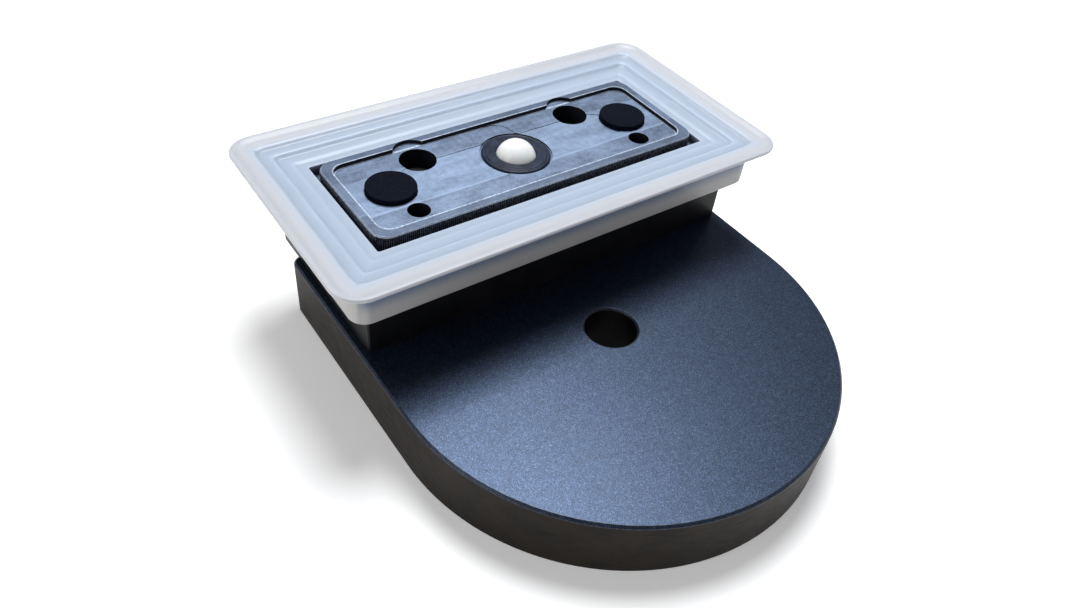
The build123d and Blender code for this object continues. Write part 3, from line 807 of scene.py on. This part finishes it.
class BLOCK_OT_suction_cup(bpy.types.Operator):
    """Build the frosted silicone cup with its flared lip and stepped inner face"""
    bl_idname = "block.suction_cup"
    bl_label = "Suction cup"

    def execute(self, context):
        sizes = context.scene.block_sizes
        bottom, top = CUP_LOW.z / MM, CUP_HIGH.z / MM
        under = top - sizes.lip_thickness / MM
        rim = sizes.rim_width / MM

        def inside(distance, radius, height, softness):
            return (LIP_LENGTH - distance, LIP_WIDTH - distance, radius, height, softness)

        first, second, third = (s / MM for s in (sizes.first_step, sizes.second_step, sizes.third_step))
        profile = [
            (*CUP_OPENING, bottom, 0.0),
            (*CUP_BODY, bottom, 0.6),
            (*CUP_BODY, WINDOW_FLOOR, 1.6),
            (53.2, 26.0, 4.2, 35.4, 1.4),
            (LIP_LENGTH - 0.9, LIP_WIDTH - 0.8, 5.4, under - 0.15, 0.7),
            inside(0.0, 6.2, under + 0.05, 0.3),
            inside(0.0, 6.2, top, 0.42),
            inside(rim, 5.4, top, 0.5),
            inside(rim + 1.1, 4.6, top - 0.45, 0.5),
            inside(first - 0.3, 2.8, top - 0.62, 0.35),
            inside(first + 0.5, 2.4, top - 1.22, 0.35),
            inside(second - 0.2, 1.8, top - 1.32, 0.35),
            inside(second + 0.7, 1.4, top - 2.04, 0.4),
            inside(third - 0.2, 1.0, top - 2.10, 0.4),
            inside(third + 0.6, 0.8, LEDGE, 0.5),
            (*CUP_WINDOW, LEDGE, 0.25),
            (*CUP_WINDOW, WINDOW_FLOOR, 0.15),
            (*CUP_OPENING, WINDOW_FLOOR, 0.1),
            (*CUP_OPENING, GROOVE_TOP, 0.1),
            (*CUP_GROOVE, GROOVE_TOP, 0.1),
            (*CUP_GROOVE, GROOVE_BOTTOM, 0.1),
            (*CUP_OPENING, GROOVE_BOTTOM, 0.1),
        ]
        centre = Vector((CUP_CENTRE.x, CUP_CENTRE.y, 0.0))
        cup = ring_piece("silicone_cup", profile, centre, silicone_finish(), corner_steps=14)
        settle(cup, "block", "frosted_silicone", "suction_cup")
        return {"FINISHED"}


class BLOCK_OT_base_plate(bpy.types.Operator):
    """Build the bead-blasted base plate with softly rounded edges"""
    bl_idname = "block.base_plate"
    bl_label = "Base plate"

    def execute(self, context):
        width = context.scene.block_sizes.plate_edge
        edge = edge_wear_and_highlight_finish("Rubbed plate edge", (0.010, 0.012, 0.018), (0.05, 0.06, 0.08))
        side = side_finish("Milled plate side", (0.0070, 0.0048, 0.0032), (0.016, 0.011, 0.007))
        plate = softened_copy("base_plate_blasted", "base_plate", width, (blasted_finish(), side, edge))
        settle(plate, "block", "blasted_anodised", "base_plate")
        return {"FINISHED"}


class BLOCK_OT_riser(bpy.types.Operator):
    """Build the milled riser bar under the cup"""
    bl_idname = "block.riser"
    bl_label = "Riser bar"

    def execute(self, context):
        edge = edge_wear_and_highlight_finish("Rubbed riser edge", (0.010, 0.011, 0.014), (0.04, 0.045, 0.055))
        milled = milled_black_finish()
        riser = softened_copy("riser_bar_milled", "riser_block", 0.1 * MM, (milled, milled, edge))
        settle(riser, "block", "black_anodised", "riser_block")
        return {"FINISHED"}


class BLOCK_OT_core_plate(bpy.types.Operator):
    """Build the machined core plate and the serrations along its side"""
    bl_idname = "block.core_plate"
    bl_label = "Core plate"

    def execute(self, context):
        sizes = context.scene.block_sizes
        # The pale edge colours are a painted highlight along the core plate's edges
        edge = edge_wear_and_highlight_finish("Core edge painted highlight", (0.16, 0.20, 0.28), (0.66, 0.74, 0.86), 0.1)
        # The near-black colours of the core's upright walls and bores are painted shade
        wall = side_finish("Milled core wall in painted shade", (0.005, 0.006, 0.009), (0.018, 0.022, 0.031))
        core = softened_copy("core_plate_milled", "core_plate", sizes.core_edge, (core_finish(), wall, edge))
        settle(core, "block", "milled_anodised", "core_plate")
        top, bottom = CORE_TOP - 0.35 * MM, SERRATION_BOTTOM * MM
        half_length, half_width, corner = CORE_OUTLINE
        ribs = new_piece("core_plate_serrations", bpy.data.meshes.new("core_plate_serrations"))
        run_tree(ribs, serration_tree(), {
            "Length": 2 * half_length * MM, "Width": 2 * half_width * MM, "Corner radius": corner * MM,
            "Height": top - bottom, "Pitch": sizes.serration_pitch, "Rib radius": sizes.serration_radius,
            "Centre": Vector((CUP_CENTRE.x, CUP_CENTRE.y, (top + bottom) / 2)), "Finish": serration_finish()})
        settle(ribs, "block", "milled_anodised")
        return {"FINISHED"}


class BLOCK_OT_friction_pads(bpy.types.Operator):
    """Build the two granular rubber discs"""
    bl_idname = "block.friction_pads"
    bl_label = "Friction pads"

    def execute(self, context):
        finish = rubber_finish("Friction rubber", context.scene.block_colours.rubber)
        for side in ("left", "right"):
            node = f"friction_pad_{side}"
            low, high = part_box(node)
            radius, bottom, top = (high.x - low.x) / 2 / MM, low.z / MM, high.z / MM
            profile = turned([
                (0.0, bottom, 0.0), (radius, bottom, 0.1), (radius, top - 0.02, 0.28),
                (radius - 0.75, top - 0.01, 0.2), (0.6 * radius, top, 0.4), (0.0, top, 0.0)])
            pad = ring_piece(f"friction_disc_{side}", profile, place_over(node), finish, corner_steps=18)
            settle(pad, "block", "pad_rubber", node)
        return {"FINISHED"}


class BLOCK_OT_valve_seat(bpy.types.Operator):
    """Build the turned ring round the ball, with a bead along its outer edge"""
    bl_idname = "block.valve_seat"
    bl_label = "Valve seat"

    def execute(self, context):
        outer, bottom, top = (SEAT_HIGH.x - SEAT_LOW.x) / 2 / MM, SEAT_LOW.z / MM, SEAT_HIGH.z / MM
        seal_low, seal_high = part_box("valve_seat_seal")
        groove = (seal_low.z + seal_high.z) / 2 / MM
        profile = turned([
            (5.6, bottom, 0.1), (outer, bottom, 0.15), (outer, groove - 0.6, 0.1),
            (6.9, groove - 0.6, 0.1), (6.9, groove + 0.6, 0.1), (outer, groove + 0.6, 0.08),
            (outer, top - 0.3, 0.12), (outer - 0.32, top - 0.02, 0.14), (outer - 0.7, top - 0.02, 0.1),
            (outer - 0.82, top - 0.1, 0.06), (outer - 0.95, top - 0.1, 0.06), (outer - 1.05, top, 0.1),
            (4.78, top, 0.12), (4.62, top - 0.15, 0.08), (4.62, top - 0.22, 0.05), (5.6, bottom + 0.4, 0.1)])
        axis = place_over("valve_seat_seal")
        ring = ring_piece("valve_ring", profile, axis, seat_finish(), corner_steps=20)
        settle(ring, "block", "valve_rubber", "valve_seat")
        return {"FINISHED"}


class BLOCK_OT_valve_ball(bpy.types.Operator):
    """Build the polished ball with its faint parting bead and the gate mark under it"""
    bl_idname = "block.valve_ball"
    bl_label = "Valve ball"

    def execute(self, context):
        radius, middle = (BALL_HIGH.x - BALL_LOW.x) / 2 / MM, (BALL_LOW.z + BALL_HIGH.z) / 2 / MM
        points = [(0.0, middle - radius + 0.03, 0.0), (0.45, middle - radius + 0.03, 0.0)]
        steps = 56
        for step in range(2, steps):
            angle = -pi / 2 + pi * step / steps
            bead = 0.012 if abs(step - steps / 2) < 1 else 0.0
            points.append(((radius - 0.012 + bead) * cos(angle), middle + radius * sin(angle), 0.0))
        points.append((0.0, middle + radius, 0.0))
        ball = ring_piece("valve_ball_polished", turned(points), place_over("valve_ball"), ball_finish(),
                          corner_steps=18, crease=60.0)
        settle(ball, "ball", "white_plastic", "valve_ball")
        return {"FINISHED"}


class BLOCK_OT_valve_spring(bpy.types.Operator):
    """Build the coil spring under the ball, with closed ends"""
    bl_idname = "block.valve_spring"
    bl_label = "Valve spring"

    def execute(self, context):
        wire = context.scene.block_sizes.spring_wire
        height = SPRING_HIGH.z - SPRING_LOW.z
        centre = place_over("valve_spring", SPRING_LOW.z + wire)
        centre.x, centre.y = place_over("valve_ball").xy
        steel = context.scene.block_colours.steel
        finish = steel_finish("Spring wire", steel, scaled(steel, 1.4), 1.0, 0.28)
        spring = new_piece("valve_spring_coil", bpy.data.meshes.new("valve_spring_coil"))
        run_tree(spring, spring_tree(), {
            "Radius": 3.0 * MM, "Wire radius": wire, "Height": height - 2 * wire, "Turns": 7.0,
            "Centre": centre, "Finish": finish})
        settle(spring, "ball", "spring_steel", "valve_spring")
        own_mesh(spring)
        return {"FINISHED"}


class BLOCK_OT_seals(bpy.types.Operator):
    """Finish the round seals and the ball's guide"""
    bl_idname = "block.seals"
    bl_label = "Seals and guide"

    def execute(self, context):
        rubber = rubber_finish("Seal rubber", context.scene.block_colours.rubber, 0.15,
                               (0.02, 0.02, 0.022), 0.008, 0.45)
        dress_node("valve_seat_seal", rubber)
        dress_node("gallery_seal", rubber)
        dress_node("valve_guide", plastic_finish())
        return {"FINISHED"}


class BLOCK_OT_screws(bpy.types.Operator):
    """Build the socket head screws of the core plate and of the riser"""
    bl_idname = "block.screws"
    bl_label = "Screws"

    def execute(self, context):
        sizes = context.scene.block_sizes
        oxide = context.scene.block_colours.oxide
        finish = steel_finish("Black oxide steel", oxide, scaled(oxide, 2.2), 0.5, 0.50)
        tree = screw_tree()
        upright, hanging = Euler((0.0, 0.0, 0.0)), Euler((pi, 0.0, 0.0))
        kinds = [(f"core_screw_{side}", 3.5, 2.8, 2.0, 8.5, 2.5, upright) for side in ("left", "right")]
        kinds += [(f"riser_screw_{n}", 4.25, 5.0, 2.5, 18.0, 4.0, hanging) for n in range(1, 5)]
        for node, head, tall, shank, reach, flats, turn in kinds:
            low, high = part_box(node)
            seat = high.z - tall * MM if turn is upright else low.z + tall * MM
            knurl = sizes.knurl_depth / MM
            body = turned([
                (0.0, -reach, 0.0), (shank - 0.5, -reach, 0.05), (shank, 0.5 - reach, 0.1),
                (shank, 0.0, 0.0), (head - knurl, 0.0, 0.12), (head - knurl, tall - 0.3, 0.1),
                (head - knurl - 0.3, tall, 0.1), (0.0, tall, 0.0)])
            screw = ring_piece(f"{node}_turned", body, Vector(), finish, corner_steps=10, soft_steps=2)
            run_tree(screw, tree, {
                "Head radius": (head - knurl) * MM, "Head height": tall * MM,
                "Socket radius": flats / 3 ** 0.5 * MM, "Socket depth": 0.55 * tall * MM,
                "Knurl radius": knurl * MM, "Knurl count": sizes.knurl_count,
                "Place": place_over(node, seat), "Turn": turn, "Finish": finish})
            screw.data.set_sharp_from_angle(angle=radians(30.0))
            settle(screw, "block", "black_oxide_steel", node)
        return {"FINISHED"}


class BLOCK_OT_dowels(bpy.types.Operator):
    """Finish the ground dowel pins"""
    bl_idname = "block.dowels"
    bl_label = "Dowel pins"

    def execute(self, context):
        steel = context.scene.block_colours.steel
        # The steel darkened to a quarter is painted shade on the dowel ends deep in their holes
        finish = steel_finish("Ground steel", scaled(steel, 0.25), scaled(steel, 0.5), 0.9, 0.32)
        for group in ("core_dowel", "riser_dowel"):
            for side in ("left", "right"):
                dress_node(f"{group}_{side}", finish)
        return {"FINISHED"}


class BLOCK_OT_studio(bpy.types.Operator):
    """Build the pale floor, the soft lights and the camera"""
    bl_idname = "block.studio"
    bl_label = "Studio"

    def execute(self, context):
        scene = context.scene
        floor_mesh = bpy.data.meshes.new("floor")
        reach = 4.0
        corners = [(-reach, -reach), (reach, -reach), (reach, reach), (-reach, reach)]
        floor_mesh.from_pydata([(x, y, -FLOOR_GAP) for x, y in corners], [], [(0, 1, 2, 3)])
        floor_mesh.materials.append(floor_finish())
        new_piece("floor", floor_mesh)
        aim = Vector((0.0, 0.01, 0.02))
        lights = [
            ("Main soft light", 56.0, 67.0, 0.75, 0.38, 6.8, (0.93, 0.97, 1.0)),
            ("Low warm fill", 180.0, 26.0, 1.1, 0.8, 2.4, (1.0, 0.95, 0.88)),
        ]
        for name, azimuth, elevation, distance, size, power, tint in lights:
            data = bpy.data.lights.new(name, "AREA")
            data.color = tint
            data.shape = "DISK"
            data.size = size
            data.energy = power
            light = bpy.data.objects.new(name, data)
            a, e = radians(azimuth), radians(elevation)
            away = Vector((cos(a) * cos(e), sin(a) * cos(e), sin(e)))
            light.location = aim + away * distance
            light.rotation_euler = away.to_track_quat("Z", "Y").to_euler()
            scene.collection.objects.link(light)
        world = bpy.data.worlds.new("Soft room")
        world.use_nodes = True
        tree = world.node_tree
        tree.nodes.clear()
        direction = add_node(tree, "ShaderNodeTexCoord").outputs["Generated"]
        dim = rescale(tree, split(tree, direction)["Z"], 0.02, 0.45)
        tone = blend_colours(tree, dim, (0.72, 0.72, 0.72), (0.13, 0.14, 0.16))
        background = add_node(tree, "ShaderNodeBackground", {"Color": tone, "Strength": 1.0})
        add_node(tree, "ShaderNodeOutputWorld", {"Surface": background.outputs[0]})
        scene.world = world
        scene.view_settings.view_transform = "Standard"
        data = bpy.data.cameras.new("Camera")
        data.lens = 28.98
        data.sensor_width = 36.0
        data.clip_start = 0.005
        camera = bpy.data.objects.new("Camera", data)
        camera.location = (-0.0994, -0.0941, 0.1459)
        camera.rotation_euler = (radians(46.80), radians(-5.17), radians(-35.04))
        scene.collection.objects.link(camera)
        scene.camera = camera
        return {"FINISHED"}


OPERATORS = (
    BLOCK_OT_studio, BLOCK_OT_base_plate, BLOCK_OT_riser, BLOCK_OT_suction_cup, BLOCK_OT_core_plate,
    BLOCK_OT_friction_pads, BLOCK_OT_valve_seat, BLOCK_OT_valve_ball, BLOCK_OT_valve_spring,
    BLOCK_OT_seals, BLOCK_OT_screws, BLOCK_OT_dowels,
)


class BLOCK_PT_pieces(bpy.types.Panel):
    """Lists the operators that build the block"""
    bl_label = "Mounting block"
    bl_idname = "BLOCK_PT_pieces"
    bl_space_type = "VIEW_3D"
    bl_region_type = "UI"
    bl_category = "Mounting block"

    def draw(self, context):
        for operator in OPERATORS:
            self.layout.operator(operator.bl_idname)
        for group in (context.scene.block_sizes, context.scene.block_colours):
            for key in group.__annotations__:
                self.layout.prop(group, key)


CLASSES = (BlockSizes, BlockColours, *OPERATORS, BLOCK_PT_pieces)


def register():
    """Registers the classes and the scene's settings."""
    for cls in CLASSES:
        bpy.utils.register_class(cls)
    bpy.types.Scene.block_sizes = bpy.props.PointerProperty(type=BlockSizes)
    bpy.types.Scene.block_colours = bpy.props.PointerProperty(type=BlockColours)


def unregister():
    """Removes the scene's settings and the classes."""
    del bpy.types.Scene.block_colours
    del bpy.types.Scene.block_sizes
    for cls in reversed(CLASSES):
        bpy.utils.unregister_class(cls)


def main():
    register()
    for operator in OPERATORS:
        group, action = operator.bl_idname.split(".")
        getattr(getattr(bpy.ops, group), action)()


if __name__ == "__main__":
    main()
